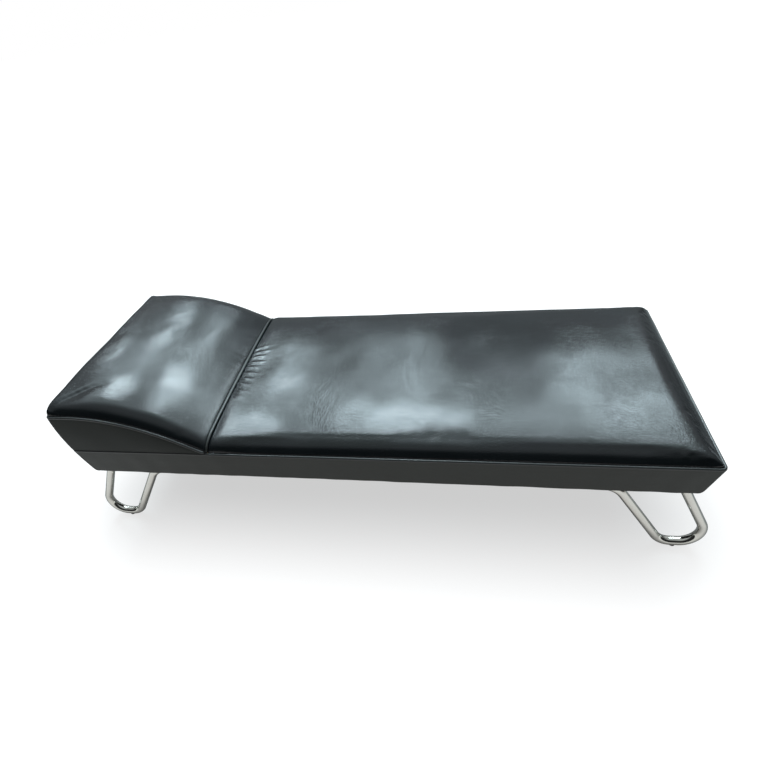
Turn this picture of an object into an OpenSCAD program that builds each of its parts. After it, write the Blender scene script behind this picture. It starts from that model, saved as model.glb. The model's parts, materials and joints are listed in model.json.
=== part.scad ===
// Recovery couch: a padded bench with a raised head wedge on four bent tube legs.
// Millimetres, +Z up. The origin is on the floor below the middle of the couch,
// +X runs from the head end to the foot end.

/* [Body] */
// Length of the body at the seam line
body_l = 1830; // [1600:10:1950]
// Width of the body at the seam line
body_w = 690; // [620:10:760]
// Height of the seam line above the floor
seam_z = 346; // [320:1:400]
// Height of the upholstered base band
band_h = 102; // [90:1:115]
// How far each base end leans in at the bottom
end_lean = 28; // [10:1:40]
// Radius of the lower edge at the two ends
end_round = 24; // [10:1:30]

/* [Head wedge] */
// Length of the raised head wedge
wedge_l = 464; // [450:1:540]
// Height of the wedge's welt above the seam line
wedge_h = 148; // [135:1:160]
// Radius of the wedge's curved top
wedge_r = 600; // [520:10:600]
// Slope where the wedge runs down to the seat
wedge_slope = 33; // [32:1:35]

/* [Upholstery] */
// Rise of the seat's crown above the seam line
seat_crown = 42; // [20:1:60]
// Rise of the wedge's crown above its welt
wedge_crown = 44; // [20:1:60]
// Share of the crown that is lost where the seat and the wedge meet
junction_dip = 0.2; // [0:0.05:0.5]
// Thickness of the vinyl
vinyl_t = 1.6; // [1:0.1:2.5]
// Diameter of the piping
welt_d = 8; // [6:0.5:10]

/* [Wood frame] */
// Thickness of the frame rails
rail_t = 22; // [18:1:26]
// Thickness of the plywood seat deck
deck_t = 9.5; // [6:0.5:12]
// Thickness of the wedge's ribs and head board
rib_t = 15; // [12:1:18]
// Spacing of the three cross rails under the deck
cross_rail_pitch = 440; // [380:10:460]

/* [Legs] */
// Outer diameter of the leg tube
tube_d = 25.4; // [22:0.1:28]
// Wall thickness of the leg tube
tube_wall = 1.6; // [1.2:0.1:2]
// Corner of the floor bar beyond the body's end
foot_out = 61; // [50:1:80]
// Corner of the floor bar inside the body's end
foot_in = 74; // [65:1:90]
// Top of the outer upright, inside the body's end
top_out = 55; // [50:1:62]
// Top of the inner upright, inside the body's end
top_in = 220; // [210:1:235]
// Bend radius at the floor
foot_bend = 53; // [48:1:55]
// Bend radius at the top of the inner upright
top_bend = 79; // [60:1:85]
// Half the spacing of the legs across the couch, at the floor
foot_y = 340; // [325:1:345]
// Half the spacing of the legs across the couch, under the body
top_y = 312; // [308:1:314]

/* [Hidden] */
$fn = 48;

half_l = body_l / 2;
half_w = body_w / 2;
base_z = seam_z - band_h;
clear = 0.2;
welt_r = welt_d / 2;
lean = atan(end_lean / band_h);

// Layers under the body, from the bottom up: dust cover, band flange, rail
dust_t = 0.8;
flange_w = 50;
side_round = 8;
rail_z = base_z + dust_t + vinyl_t;
deck_z = seam_z - deck_t;
rail_y = half_w - vinyl_t - clear / 2;
band_top = seam_z - welt_r - clear;

// Head wedge, along s from the head end
junction_x = -half_l + wedge_l;
arc_run = wedge_r * sin(wedge_slope);
arc_drop = wedge_r * (1 - cos(wedge_slope));
slope_run = (wedge_h - arc_drop) / tan(wedge_slope);
flat_run = wedge_l - slope_run - arc_run;
wedge_deck_t = 4;
wedge_pad = 20;

// Legs
tube_r = tube_d / 2;
bore_r = tube_r - tube_wall;
glide_t = 3;
floor_bar_z = glide_t + tube_r;
run_z = base_z - tube_r;
splay = atan((foot_y - top_y) / (run_z - floor_bar_z));
toe = 0.5;
leg_h = (run_z - floor_bar_z) / cos(splay);
run_end = 362;
bolt_r = 3;
bolt_u = [280, 340];
plate_t = 3;
plate_l = 84;
plate_w = 60;
plate_y = 300;
plate_u = top_out + 29;
plate_spots = [[-32, 18], [2, -18], [32, -18], [32, 18]];
plate_screw_r = 2.4;
plate_screw_l = 28;

function wedge_top(s) =
    s <= flat_run ? wedge_h :
    s <= flat_run + arc_run ? wedge_h - wedge_r + sqrt(pow(wedge_r, 2) - pow(s - flat_run, 2)) :
    (wedge_l - s) * tan(wedge_slope);

function arc_points(x, y, r, from, to, steps) =
    [for (i = [0:steps]) let (a = from + (to - from) * i / steps) [x + r * cos(a), y + r * sin(a)]];

// The base seen from the front, drawn in by inset all round
module base_outline(inset) {
    round_r = end_round - inset;
    mid_z = base_z + end_round;
    face_x = half_l - (seam_z - mid_z) * tan(lean) - end_round / cos(lean);
    top_x = half_l - inset / cos(lean);
    steps = 8;
    polygon(concat(
        [[-top_x, seam_z], [top_x, seam_z]],
        arc_points(face_x, mid_z, round_r, -lean, -90, steps),
        arc_points(-face_x, mid_z, round_r, -90, -180 + lean, steps)
    ));
}

module base_prism(inset) {
    rotate([90, 0, 0])
        linear_extrude(height = body_w + 2, center = true)
            base_outline(inset);
}

// A section seen from the head end, run along the whole length
module along_x(length) {
    rotate([90, 0, 90])
        linear_extrude(height = length, center = true)
            children();
}

module along_y(width) {
    rotate([90, 0, 0])
        linear_extrude(height = width, center = true)
            children();
}

// ---- Screws and bolts, and the holes they need ----

module countersunk_screw(length, shank_r) {
    cylinder(h = length, r = shank_r);
    cylinder(h = shank_r, r1 = shank_r * 2, r2 = shank_r);
}

module at_frame_screws() {
    heights = [rail_z + 58, rail_z + 78];
    cross = [for (i = [-1:1]) i * cross_rail_pitch];
    ends = [-1, 1] * (half_l - end_lean - rail_t / 2 + 8);
    for (side = [0, 1], x = concat(cross, ends), z = heights)
        mirror([0, side, 0])
            translate([x, -rail_y, z])
                rotate([-90, 0, 0])
                    children();
}

module at_corners() {
    for (mx = [0, 1], my = [0, 1])
        mirror([mx, 0, 0])
            mirror([0, my, 0])
                translate([-half_l, 0, 0])
                    children();
}

module at_plate_screws() {
    at_corners()
        for (spot = plate_spots)
            translate([plate_u + spot[0], -plate_y + spot[1], base_z - plate_t])
                children();
}

function run_y(u) = -top_y - (u - foot_in) * tan(toe);

module at_leg_bolts() {
    at_corners()
        for (u = bolt_u)
            translate([u, run_y(u), run_z - tube_r])
                children();
}

module frame_screw_holes() {
    at_frame_screws() translate([0, 0, -0.5]) countersunk_screw(60.5, 2.2);
}

module leg_fixing_holes() {
    at_plate_screws() translate([0, 0, -1]) cylinder(h = plate_screw_l + 2, r = plate_screw_r + 0.1);
    at_leg_bolts() translate([0, 0, -1]) cylinder(h = 62, r = bolt_r + 0.1);
}

module frame_screws() {
    color("gold")
        at_frame_screws() countersunk_screw(58, 2);
}

module plate_screws() {
    color("silver")
        at_plate_screws() {
            cylinder(h = plate_screw_l, r = plate_screw_r);
            translate([0, 0, -2.4]) cylinder(h = 2.4, r1 = 3.6, r2 = 4.8);
        }
}

module leg_bolts() {
    color("silver")
        at_leg_bolts() {
            translate([0, 0, -0.5]) cylinder(h = 58, r = bolt_r);
            translate([0, 0, -4]) cylinder(h = 3.8, r1 = 5, r2 = 6.5);
        }
}

// ---- Wood frame ----

module side_rail() {
    difference() {
        intersection() {
            base_prism(vinyl_t + clear);
            translate([-half_l, -rail_y, rail_z])
                cube([body_l, rail_t, deck_z - rail_z]);
        }
        frame_screw_holes();
        leg_fixing_holes();
        rail_edge_relief();
    }
}

// Takes the sharp lower edge off a side rail where the vinyl turns under it
module rail_edge_relief() {
    round_r = side_round - vinyl_t;
    translate([0, -rail_y, rail_z])
        along_x(body_l + 2)
            difference() {
                translate([-1, -1]) square([round_r + 1, round_r + 1]);
                translate([round_r, round_r]) circle(r = round_r);
            }
}

module front_rail() {
    color("burlywood") side_rail();
}

module back_rail() {
    color("burlywood") mirror([0, 1, 0]) side_rail();
}

module end_rail() {
    inner_w = 2 * (rail_y - rail_t - clear / 2);
    slope_x = half_l - (vinyl_t + clear) / cos(lean);
    thick = rail_t / cos(lean);
    difference() {
        intersection() {
            base_prism(vinyl_t + clear);
            along_y(inner_w)
                polygon([
                    [slope_x - (seam_z - rail_z) * tan(lean) - thick - 10, rail_z],
                    [slope_x, rail_z],
                    [slope_x, deck_z],
                    [slope_x - (seam_z - deck_z) * tan(lean) - thick - 4, deck_z]
                ]);
        }
        frame_screw_holes();
        leg_fixing_holes();
    }
}

module foot_rail() {
    color("burlywood") end_rail();
}

module head_rail() {
    color("burlywood") mirror([1, 0, 0]) end_rail();
}

module cross_rail(index) {
    height = 60;
    inner_w = 2 * (rail_y - rail_t - clear / 2);
    color("burlywood")
        difference() {
            translate([(index - 2) * cross_rail_pitch - rail_t / 2, -inner_w / 2, deck_z - height])
                cube([rail_t, inner_w, height]);
            frame_screw_holes();
        }
}

module corner_blocks() {
    leg = 70;
    block_x = half_l - end_lean - rail_t - 6;
    block_y = rail_y - rail_t - clear;
    color("tan")
        for (mx = [0, 1], my = [0, 1])
            mirror([mx, 0, 0])
                mirror([0, my, 0])
                    translate([-block_x, -block_y, deck_z - 36])
                        linear_extrude(height = 35)
                            polygon([[0, 0], [leg, 0], [0, leg]]);
}

module leg_blocks() {
    start = end_lean + rail_t + 14;
    width = 58;
    color("tan")
        difference() {
            at_corners()
                translate([start, -(rail_y - rail_t - clear), rail_z])
                    cube([run_end + 20 - start, width, 40]);
            leg_fixing_holes();
        }
}

module seat_deck() {
    color("peru")
        intersection() {
            base_prism(vinyl_t + clear);
            translate([-half_l, -rail_y, deck_z + clear / 2])
                cube([body_l, 2 * rail_y, deck_t - clear]);
        }
}

// ---- Head wedge frame ----

board_x = vinyl_t + clear;
rib_start = board_x + rib_t + clear;
rib_toe = wedge_l - (wedge_pad + wedge_deck_t + 6) / tan(wedge_slope);

// Points along the wedge's top from one place to another, lowered by drop
function wedge_points(from, to, drop) =
    let (steps = 24)
    [for (i = [0:steps]) let (s = from + (to - from) * i / steps) [s - half_l, seam_z + wedge_top(s) - drop]];

module wedge_rib(y) {
    color("wheat")
        translate([0, y, 0])
            along_y(rib_t)
                polygon(concat(
                    [[rib_toe - half_l, seam_z], [rib_start - half_l, seam_z]],
                    wedge_points(rib_start, rib_toe, wedge_pad + wedge_deck_t + clear)
                ));
}

module wedge_rib_front() {
    wedge_rib(-rail_y + rib_t / 2);
}

module wedge_rib_middle() {
    wedge_rib(0);
}

module wedge_rib_back() {
    wedge_rib(rail_y - rib_t / 2);
}

module wedge_head_board() {
    color("wheat")
        translate([board_x - half_l, -rail_y, seam_z])
            cube([rib_t, 2 * rail_y, wedge_h - wedge_pad - wedge_deck_t - clear]);
}

function reversed(list) = [for (i = [len(list) - 1:-1:0]) list[i]];

module wedge_deck() {
    color("sienna")
        along_y(2 * rail_y)
            polygon(concat(
                wedge_points(board_x, rib_toe, wedge_pad),
                reversed(wedge_points(board_x, rib_toe, wedge_pad + wedge_deck_t))
            ));
}

// ---- Foam and vinyl ----

// A closed pad over a grid of points. Each point is [x, y, low z, high z].
module pad(columns, rows, points) {
    low = [for (p = points) [p[0], p[1], p[2]]];
    high = [for (p = points) [p[0], p[1], p[3]]];
    count = columns * rows;
    function at(i, j) = i * rows + j;
    tops = [for (i = [0:columns - 2], j = [0:rows - 2]) each [
        [count + at(i, j), count + at(i, j + 1), count + at(i + 1, j)],
        [count + at(i + 1, j), count + at(i, j + 1), count + at(i + 1, j + 1)]]];
    bottoms = [for (i = [0:columns - 2], j = [0:rows - 2]) each [
        [at(i, j), at(i + 1, j), at(i, j + 1)],
        [at(i + 1, j), at(i + 1, j + 1), at(i, j + 1)]]];
    rim = concat(
        [for (i = [0:columns - 1]) at(i, 0)],
        [for (j = [1:rows - 1]) at(columns - 1, j)],
        [for (i = [columns - 2:-1:0]) at(i, rows - 1)],
        [for (j = [rows - 2:-1:1]) at(0, j)]
    );
    walls = [for (k = [0:len(rim) - 1]) let (a = rim[k], b = rim[(k + 1) % len(rim)]) each [
        [a, count + a, b],
        [b, count + a, count + b]]];
    polyhedron(points = concat(low, high), faces = concat(tops, bottoms, walls));
}

// Steps from -1 to 1, closer together near the two ends
function eased(steps) = [for (i = [0:steps]) -cos(180 * i / steps)];

// Crown of a stuffed pad. It is 1 over the middle and 0 at the sides and at u = 1, the welted end,
// and it keeps most of its height at u = -1, where the seat and the wedge meet.
function side_fall(v) = sqrt(1 - pow(abs(v), 4));
function end_fall(u) = u > 0 ? sqrt(1 - pow(u, 6)) : 1 - junction_dip * pow(-u, 12);
function crown(u, v) = end_fall(u) * side_fall(v);

pad_columns = 28;
pad_rows = 18;
pad_edge = welt_r + 1;
foam_edge_t = 3;

// The pad's outer surface over the seat or the wedge, lowered by drop
function seat_pad_points(inset, low_drop, high_drop, flat_bottom) =
    let (x0 = junction_x + pad_edge + inset, x1 = half_l - pad_edge - inset, hw = half_w - pad_edge - inset)
    [for (u = eased(pad_columns), v = eased(pad_rows))
        let (top = seam_z + foam_edge_t + (seat_crown - foam_edge_t) * crown(u, v))
        [(x0 + x1) / 2 + u * (x1 - x0) / 2, v * hw, flat_bottom ? seam_z : top - low_drop, top - high_drop]];

function wedge_pad_points(inset, low_drop, high_drop, flat_bottom) =
    let (s0 = pad_edge + inset, s1 = wedge_l - pad_edge - inset, hw = half_w - pad_edge - inset)
    [for (u = eased(pad_columns), v = eased(pad_rows))
        let (s = (s0 + s1) / 2 + u * (s1 - s0) / 2)
        let (top = seam_z + foam_edge_t + wedge_top(s) + (wedge_crown - foam_edge_t) * crown(-u, v))
        let (deck = s < rib_toe + 4 ? wedge_top(s) - wedge_pad + clear : 0)
        [s - half_l, v * hw, flat_bottom ? seam_z + max(deck, 0) : top - low_drop, top - high_drop]];

module seat_foam() {
    color("khaki")
        pad(pad_columns + 1, pad_rows + 1, seat_pad_points(2, 0, vinyl_t + clear, true));
}

module seat_cover() {
    color([0.13, 0.15, 0.16])
        pad(pad_columns + 1, pad_rows + 1, seat_pad_points(0, vinyl_t, 0, false));
}

module wedge_foam() {
    color("khaki")
        pad(pad_columns + 1, pad_rows + 1, wedge_pad_points(2, 0, vinyl_t + clear, true));
}

module wedge_cover() {
    color([0.13, 0.15, 0.16])
        pad(pad_columns + 1, pad_rows + 1, wedge_pad_points(0, vinyl_t, 0, false));
}

module wedge_side_panel() {
    low = seam_z + welt_r + clear;
    color([0.15, 0.17, 0.17])
        translate([0, -half_w + vinyl_t / 2, 0])
            along_y(vinyl_t)
                polygon(concat(
                    [[wedge_l - welt_d * 2 - half_l, low], [-half_l, low]],
                    wedge_points(0, wedge_l - welt_d * 2, welt_r + clear)
                ));
}

module wedge_front_panel() {
    wedge_side_panel();
}

module wedge_back_panel() {
    mirror([0, 1, 0]) wedge_side_panel();
}

module wedge_end_panel() {
    low = seam_z + welt_r + clear;
    width = body_w - 2 * (vinyl_t + clear);
    color([0.15, 0.17, 0.17])
        translate([-half_l, -width / 2, low])
            cube([vinyl_t, width, seam_z + wedge_h - welt_r - clear - low]);
}

// Vinyl down a face that leans by angle, turned under the edge below it
module band_section(angle, round_r) {
    mid_z = base_z + dust_t + round_r;
    mid_x = -(seam_z - mid_z) * tan(angle) - round_r / cos(angle);
    top_x = -(seam_z - band_top) * tan(angle);
    steps = 8;
    polygon(concat(
        [[top_x, band_top]],
        arc_points(mid_x, mid_z, round_r, -angle, -90, steps),
        [[-flange_w, base_z + dust_t], [-flange_w, base_z + dust_t + vinyl_t]],
        arc_points(mid_x, mid_z, round_r - vinyl_t, -90, -angle, steps),
        [[top_x - vinyl_t / cos(angle), band_top]]
    ));
}

module side_band() {
    color([0.15, 0.17, 0.17])
        difference() {
            intersection() {
                base_prism(0);
                mirror([0, 1, 0])
                    translate([0, half_w, 0])
                        along_x(body_l)
                            band_section(0, side_round);
            }
            leg_fixing_holes();
        }
}

module front_band() {
    side_band();
}

module back_band() {
    mirror([0, 1, 0]) side_band();
}

module end_band() {
    width = 2 * (half_w - flange_w - clear);
    upper_w = body_w - 2 * (vinyl_t + clear);
    color([0.15, 0.17, 0.17])
        difference() {
            intersection() {
                translate([half_l, 0, 0])
                    along_y(upper_w)
                        band_section(lean, end_round - dust_t);
                union() {
                    translate([half_l - end_lean * 2, -upper_w / 2, rail_z + clear])
                        cube([end_lean * 2 + 1, upper_w, band_h]);
                    translate([half_l - end_lean * 4, -width / 2, base_z])
                        cube([end_lean * 4, width, band_h]);
                }
            }
            leg_fixing_holes();
        }
}

module foot_band() {
    end_band();
}

module head_band() {
    mirror([1, 0, 0]) end_band();
}

// ---- Tubes and piping that follow a line with rounded corners ----

function unit(v) = v / norm(v);

// The points and directions along an arc that rounds the corner between from and to
function bend_stations(from, corner, to, radius, steps) =
    let (p = unit(corner - from), q = unit(to - corner), turn = acos(p * q))
    let (cut = radius * tan(turn / 2), centre = corner + unit(q - p) * radius / cos(turn / 2))
    let (first = corner - p * cut - centre, last = corner + q * cut - centre)
    [for (i = [0:steps]) let (a = turn * i / steps)
        [centre + (sin(turn - a) * first + sin(a) * last) / sin(turn),
            (sin(turn - a) * p + sin(a) * q) / sin(turn)]];

// Stations from the first corner to the last, with one bend radius for each corner between
function rounded_line(corners, bends, steps) =
    let (last = len(corners) - 1)
    concat(
        [[corners[0], unit(corners[1] - corners[0])]],
        [for (i = [1:last - 1]) each bend_stations(corners[i - 1], corners[i], corners[i + 1], bends[i - 1], steps)],
        [[corners[last], unit(corners[last] - corners[last - 1])]]
    );

// The same line joined up into a loop. It starts and ends at the middle of its first side.
function rounded_loop(corners, bend, steps) =
    let (start = (corners[0] + corners[len(corners) - 1]) / 2)
    let (line = rounded_line(concat([start], corners, [start]), [for (c = corners) bend], steps))
    [for (i = [0:len(line) - 2]) line[i]];

// A round section round each station. The line never runs along Z.
function station_rings(stations, radius, sides) =
    [for (s = stations, j = [0:sides - 1])
        let (side = unit(cross([0, 0, 1], s[1])), up = cross(s[1], side), a = 360 * j / sides)
        s[0] + radius * (cos(a) * side + sin(a) * up)];

function ring_walls(rings, sides, start, outward) =
    [for (i = [0:rings - 2], j = [0:sides - 1])
        let (k = (j + 1) % sides, low = start + i * sides, high = low + sides)
        outward ? [low + j, high + j, high + k, low + k] : [low + j, low + k, high + k, high + j]];

module rod_along(stations, radius, sides) {
    rings = len(stations);
    end = (rings - 1) * sides;
    polyhedron(
        points = station_rings(stations, radius, sides),
        faces = concat(
            ring_walls(rings, sides, 0, true),
            [[for (j = [0:sides - 1]) j]],
            [[for (j = [sides - 1:-1:0]) end + j]]
        )
    );
}

module loop_along(stations, radius, sides) {
    rings = len(stations);
    polyhedron(
        points = station_rings(stations, radius, sides),
        faces = [for (i = [0:rings - 1], j = [0:sides - 1])
            let (k = (j + 1) % sides, low = i * sides, high = ((i + 1) % rings) * sides)
            [low + j, high + j, high + k, low + k]]
    );
}

module tube_along(stations, outer, inner, sides) {
    rings = len(stations);
    count = rings * sides;
    end = count - sides;
    polyhedron(
        points = concat(station_rings(stations, outer, sides), station_rings(stations, inner, sides)),
        faces = concat(
            ring_walls(rings, sides, 0, true),
            ring_walls(rings, sides, count, false),
            [for (j = [0:sides - 1]) let (k = (j + 1) % sides) [j, k, count + k, count + j]],
            [for (j = [0:sides - 1]) let (k = (j + 1) % sides) [end + k, end + j, count + end + j, count + end + k]]
        )
    );
}

welt_bend = 10;
welt_inset = 1.5;
welt_y = half_w - welt_inset;
welt_sides = 12;

// Runs all round the body at the seam line
module base_welt() {
    end_x = half_l - welt_inset;
    corners = [
        [-end_x, -welt_y, seam_z],
        [end_x, -welt_y, seam_z],
        [end_x, welt_y, seam_z],
        [-end_x, welt_y, seam_z]
    ];
    color([0.10, 0.11, 0.12])
        loop_along(rounded_loop(corners, welt_bend, 6), welt_r, welt_sides);
}

module wedge_welt() {
    toe_s = wedge_l - welt_d * 2;
    toe_x = toe_s - half_l;
    toe_z = seam_z + wedge_top(toe_s);
    knee_x = flat_run + wedge_r * tan(wedge_slope / 2) - half_l;
    top_z = seam_z + wedge_h;
    end_x = welt_inset - half_l;
    corners = [
        [toe_x, -welt_y, toe_z],
        [knee_x, -welt_y, top_z],
        [end_x, -welt_y, top_z],
        [end_x, welt_y, top_z],
        [knee_x, welt_y, top_z],
        [toe_x, welt_y, toe_z]
    ];
    color([0.10, 0.11, 0.12])
        rod_along(rounded_line(corners, [wedge_r, welt_bend, welt_bend, wedge_r], 8), welt_r, welt_sides);
}

// Runs over the crown between the two pads, so it rises towards the middle
module junction_welt() {
    reach = 0.97;
    rise = foam_edge_t + (seat_crown - foam_edge_t) * (1 - junction_dip) - welt_r;
    line = [for (v = eased(24)) [junction_x, v * reach * welt_y, seam_z + welt_r + rise * side_fall(v * reach)]];
    last = len(line) - 1;
    stations = [for (i = [0:last]) [line[i], unit(line[min(i + 1, last)] - line[max(i - 1, 0)])]];
    color([0.10, 0.11, 0.12])
        rod_along(stations, welt_r, welt_sides);
}

module dust_cover() {
    inset = side_round;
    end_x = half_l - end_lean - end_round;
    color([0.08, 0.08, 0.09])
        difference() {
            translate([-end_x, inset - half_w, base_z])
                cube([2 * end_x, body_w - 2 * inset, dust_t - clear / 2]);
            leg_fixing_holes();
        }
}

module staples() {
    crown_w = 11;
    wire = 0.9;
    side_y = half_w - flange_w + 8;
    end_x = half_l - end_lean - end_round - 6;
    pitch = 95;
    per_side = floor((body_l - 2 * (plate_u + plate_l)) / pitch);
    color("gray") {
        for (side = [-1, 1], i = [0:per_side])
            translate([(i - per_side / 2) * pitch, side * side_y, base_z - wire / 2])
                cube([crown_w, wire, wire], center = true);
        for (side = [-1, 1], i = [-2:2])
            translate([side * end_x, i * pitch, base_z - wire / 2])
                cube([wire, crown_w, wire], center = true);
    }
}

// ---- Legs ----

// The loop's own plane: x inward from the body's end, y up the splayed plane
upright_over = 40;
tube_sides = 16;
outer_run = unit([top_out + foot_out, leg_h]);
leg_corners = [
    [run_end, leg_h, 0],
    [top_in, leg_h, 0],
    [foot_in, 0, 0],
    [-foot_out, 0, 0],
    [top_out + upright_over * outer_run[0], leg_h + upright_over * outer_run[1], 0]
];
leg_bends = [top_bend, foot_bend, foot_bend];
cut_in = foot_bend * tan(atan2(leg_h, top_in - foot_in) / 2);
cut_out = foot_bend / tan(atan2(leg_h, top_out + foot_out) / 2);

module leg_plane() {
    translate([-half_l, 0, run_z])
        translate([foot_in, -top_y, 0])
            rotate([0, 0, -toe])
                rotate([-splay, 0, 0])
                    translate([-foot_in, 0, -leg_h])
                        rotate([90, 0, 0])
                            children();
}

module leg() {
    color("gainsboro")
        difference() {
            leg_plane()
                tube_along(rounded_line(leg_corners, leg_bends, 7), tube_r, bore_r, tube_sides);
            translate([-half_l, -body_w, base_z - plate_t - clear / 2])
                cube([top_out + 100, body_w, upright_over * 2]);
            at_leg_bolts() translate([0, 0, -1]) cylinder(h = tube_d + 2, r = bolt_r + 0.1);
        }
}

module leg_head_front() {
    leg();
}

module leg_head_back() {
    mirror([0, 1, 0]) leg();
}

module leg_foot_front() {
    mirror([1, 0, 0]) leg();
}

module leg_foot_back() {
    mirror([1, 0, 0]) mirror([0, 1, 0]) leg();
}

module leg_plates() {
    color("silver")
        difference() {
            at_corners()
                translate([plate_u - plate_l / 2, -plate_y - plate_w / 2, base_z - plate_t])
                    cube([plate_l, plate_w, plate_t - clear / 2]);
            at_plate_screws() translate([0, 0, -1]) cylinder(h = plate_t + 2, r = plate_screw_r + 0.1);
        }
}

module leg_plugs() {
    plug_l = 12;
    disc_t = 3;
    color("black")
        for (mx = [0, 1], my = [0, 1])
            mirror([mx, 0, 0])
                mirror([0, my, 0])
                    leg_plane()
                        translate([run_end, leg_h, 0])
                            rotate([0, 90, 0]) {
                                translate([0, 0, clear]) cylinder(h = disc_t, r = tube_r);
                                translate([0, 0, -plug_l]) cylinder(h = plug_l + clear, r = bore_r - 0.1);
                            }
}

module floor_glides() {
    bar_u = (foot_in - cut_in - foot_out + cut_out) / 2;
    glide_r = 10;
    color("dimgray")
        difference() {
            at_corners()
                translate([bar_u, -foot_y - (bar_u - foot_in) * tan(toe), 0])
                    cylinder(h = glide_t + 4, r1 = glide_r - 1, r2 = glide_r);
            for (mx = [0, 1], my = [0, 1])
                mirror([mx, 0, 0])
                    mirror([0, my, 0])
                        leg_plane()
                            translate([-foot_out, 0, 0])
                                rotate([0, 90, 0])
                                    cylinder(h = foot_in + foot_out, r = tube_r + 0.1);
        }
}

front_rail();
back_rail();
head_rail();
foot_rail();
cross_rail(1);  // cross_rail_1
cross_rail(2);  // cross_rail_2
cross_rail(3);  // cross_rail_3
corner_blocks();
leg_blocks();
frame_screws();
seat_deck();
wedge_rib_front();
wedge_rib_middle();
wedge_rib_back();
wedge_head_board();
wedge_deck();
seat_foam();
wedge_foam();
seat_cover();
wedge_cover();
wedge_front_panel();
wedge_back_panel();
wedge_end_panel();
front_band();
back_band();
head_band();
foot_band();
base_welt();
wedge_welt();
junction_welt();
dust_cover();
staples();
leg_head_front();
leg_head_back();
leg_foot_front();
leg_foot_back();
leg_plates();
leg_plugs();
plate_screws();
leg_bolts();
floor_glides();
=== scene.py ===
import json
import math

import bpy
import numpy as np
from mathutils import Matrix, Vector


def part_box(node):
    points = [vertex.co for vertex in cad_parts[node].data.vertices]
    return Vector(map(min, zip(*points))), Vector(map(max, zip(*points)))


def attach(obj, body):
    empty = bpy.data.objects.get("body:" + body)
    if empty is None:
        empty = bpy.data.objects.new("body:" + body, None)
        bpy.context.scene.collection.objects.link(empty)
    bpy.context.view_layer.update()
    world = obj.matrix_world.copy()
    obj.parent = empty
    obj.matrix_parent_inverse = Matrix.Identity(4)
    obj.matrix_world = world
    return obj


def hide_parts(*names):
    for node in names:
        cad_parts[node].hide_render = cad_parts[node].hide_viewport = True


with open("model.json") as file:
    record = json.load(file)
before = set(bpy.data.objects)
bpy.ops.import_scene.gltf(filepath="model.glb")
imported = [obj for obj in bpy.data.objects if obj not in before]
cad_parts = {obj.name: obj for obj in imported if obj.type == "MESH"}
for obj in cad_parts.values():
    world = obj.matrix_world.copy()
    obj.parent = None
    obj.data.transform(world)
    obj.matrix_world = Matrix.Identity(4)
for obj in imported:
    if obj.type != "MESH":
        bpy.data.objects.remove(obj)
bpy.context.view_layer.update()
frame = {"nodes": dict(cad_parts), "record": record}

MM = 0.001


# ---- Sizes, read from the frame, in metres ----

def low(node):
    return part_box(node)[0]


def high(node):
    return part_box(node)[1]


SEAM_Z = (low("base_welt").z + high("base_welt").z) / 2
WELT_R = (high("base_welt").z - low("base_welt").z) / 2
HALF_L = -low("wedge_end_panel").x
HALF_W = -low("front_band").y
WELT_INSET = HALF_L + WELT_R - high("base_welt").x
JUNCTION_X = (low("junction_welt").x + high("junction_welt").x) / 2
WEDGE_L = JUNCTION_X + HALF_L
WEDGE_H = high("wedge_welt").z - WELT_R - SEAM_Z
SEAT_RISE = high("seat_cover").z - SEAM_Z
BASE_Z = low("dust_cover").z
PLATE_Z = low("leg_plates").z

# Head wedge in side view: flat, then an arc, then a straight slope to the junction
WEDGE_R = 600 * MM
WEDGE_SLOPE = math.radians(33)
ARC_RUN = WEDGE_R * math.sin(WEDGE_SLOPE)
ARC_DROP = WEDGE_R * (1 - math.cos(WEDGE_SLOPE))
FLAT_RUN = WEDGE_L - ARC_RUN - (WEDGE_H - ARC_DROP) / math.tan(WEDGE_SLOPE)

# Upholstery
CORNER_R = 10 * MM                 # the piping's turn at a corner
PAD_INSET = 4 * MM                 # from the body's outer face to a pad's sewn edge
SHOULDER = 29 * MM                 # height of a pad's rolled edge
ROLL = 42 * MM                     # how far in the rolled edge reaches
DOME = SEAT_RISE - SHOULDER        # crown above the rolled edge
JUNCTION_RISE = 34 * MM            # the seam between the pads, above the seam line
FAR_SAG = 17 * MM                  # how far the wedge has settled on the far side
HEAD_BULGE = 11 * MM               # how far the wedge pad stands out over its head piping
VINYL_T = 1.6 * MM

# Base band
END_LEAN = 28 * MM                 # how far each end leans in from the seam to the underside
END_ROUND = 24 * MM
SIDE_ROUND = 8 * MM
FLANGE = 50 * MM                   # turned under the frame
DUST_T = 0.8 * MM

# Leg loops, in their own plane: along the couch from the body's end, and up the splayed plane
TUBE_R = 12.7 * MM
BORE_R = 11.1 * MM
FOOT_OUT = 61 * MM
FOOT_IN = 74 * MM
TOP_OUT = 55 * MM
TOP_IN = 220 * MM
RUN_END = 362 * MM
FOOT_BEND = 53 * MM
TOP_BEND = 79 * MM
FOOT_Y = 340 * MM
TOP_Y = 312 * MM
TOE = math.radians(0.5)
RUN_Z = BASE_Z - TUBE_R
FLOOR_BAR_Z = 3 * MM + TUBE_R

# Studio
CEILING = 2.6
GLOW_Z = CEILING + 0.2
LAMP_COLOUR = (0.76, 0.93, 1.0)
CAMERA_PLACE = (0.3026, -1.1557, 1.3689)
CAMERA_ANGLES = (40.199, 15.063, -10.225)      # pitch down, yaw to the left, roll, in degrees


# ---- Mesh helpers ----

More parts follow.
